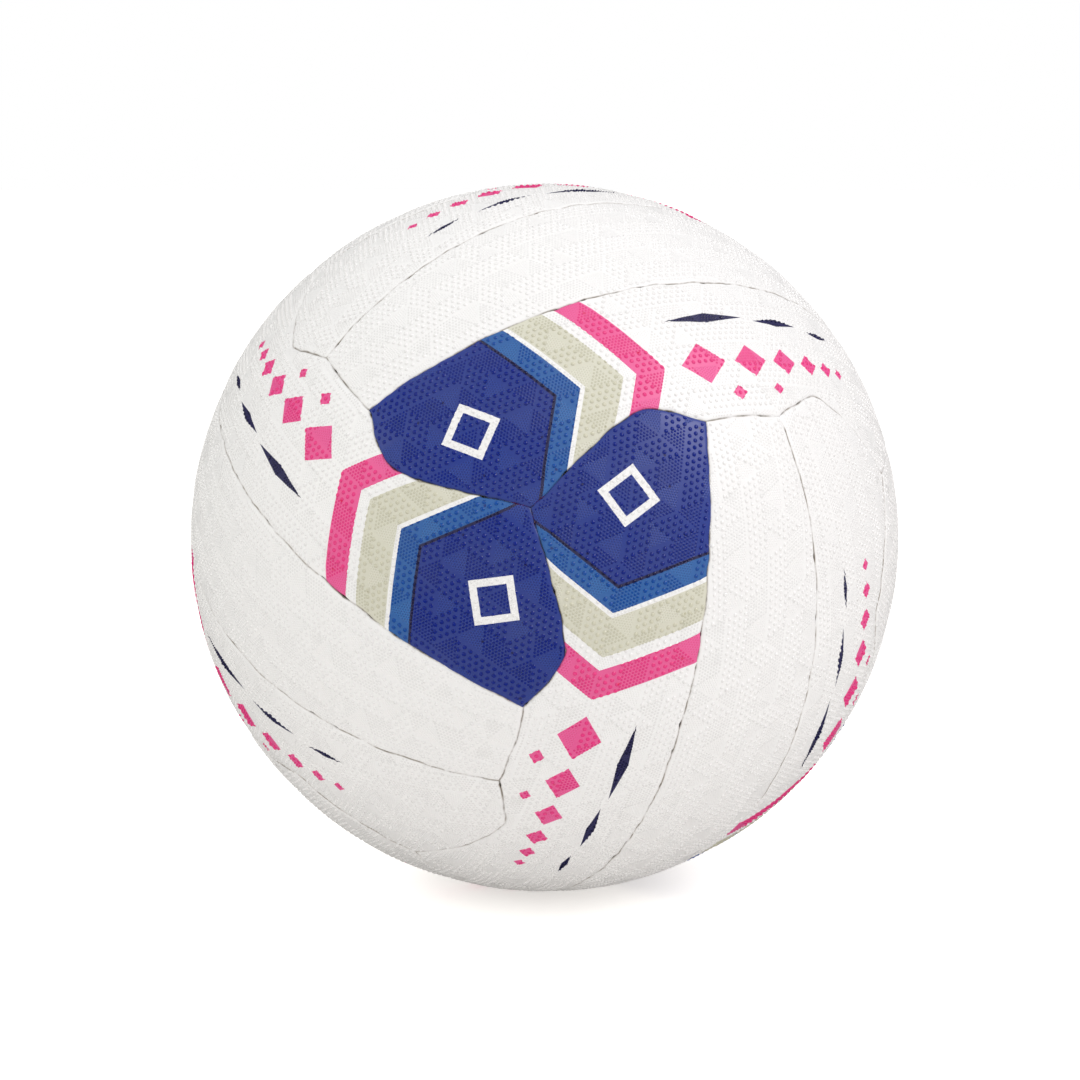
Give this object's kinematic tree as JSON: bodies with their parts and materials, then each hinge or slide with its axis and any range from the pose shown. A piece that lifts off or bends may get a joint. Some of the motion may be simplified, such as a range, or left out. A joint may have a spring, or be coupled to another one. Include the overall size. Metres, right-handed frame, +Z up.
{
  "type": "netball",
  "caption": "Round inflatable ball with a cover of long pimpled rubber panels sewn over cloth, a bladder inside and a needle valve.",
  "frame": {"origin": "centre of the ball", "axes": "+Z up as the ball lies in the picture, whose view looks along +Y; a ball is round about every axis"},
  "size_m": [0.223, 0.223, 0.223],
  "materials": {
    "cover_plain": "satin, pimpled",
    "cover_printed": "satin, pimpled, with a printed pattern in blue, pink and sage",
    "backing_cloth": "laminated cotton and polyester cloth",
    "waxed_thread": "waxed polyester thread",
    "bladder_rubber": "matte butyl rubber",
    "valve_rubber": "smooth moulded rubber",
    "core_rubber": "matte soft rubber",
    "patch_cloth": "woven cloth"
  },
  "bodies": {
    "root": {"cover_top_first": "cover_printed", "cover_top_middle": "cover_plain", "cover_top_last": "cover_printed", "cover_right_first": "cover_printed", "cover_right_middle": "cover_plain", "cover_right_last": "cover_printed", "cover_left_first": "cover_printed", "cover_left_middle": "cover_plain", "cover_left_last": "cover_printed", "cover_under_first": "cover_printed", "cover_under_middle": "cover_plain", "cover_under_last": "cover_printed", "cover_far_left_first": "cover_printed", "cover_far_left_middle": "cover_plain", "cover_far_left_last": "cover_printed", "cover_far_right_first": "cover_printed", "cover_far_right_middle": "cover_plain", "cover_far_right_last": "cover_printed", "backing_top_first": "backing_cloth", "backing_top_middle": "backing_cloth", "backing_top_last": "backing_cloth", "backing_right_first": "backing_cloth", "backing_right_middle": "backing_cloth", "backing_right_last": "backing_cloth", "backing_left_first": "backing_cloth", "backing_left_middle": "backing_cloth", "backing_left_last": "backing_cloth", "backing_under_first": "backing_cloth", "backing_under_middle": "backing_cloth", "backing_under_last": "backing_cloth", "backing_far_left_first": "backing_cloth", "backing_far_left_middle": "backing_cloth", "backing_far_left_last": "backing_cloth", "backing_far_right_first": "backing_cloth", "backing_far_right_middle": "backing_cloth", "backing_far_right_last": "backing_cloth", "seam_thread_top": "waxed_thread", "seam_thread_right": "waxed_thread", "seam_thread_left": "waxed_thread", "seam_thread_under": "waxed_thread", "seam_thread_far_left": "waxed_thread", "seam_thread_far_right": "waxed_thread", "bladder": "bladder_rubber", "valve_seat": "valve_rubber", "valve_core": "core_rubber", "valve_patch": "patch_cloth", "balance_patch": "bladder_rubber"}
  },
  "joints": []
}
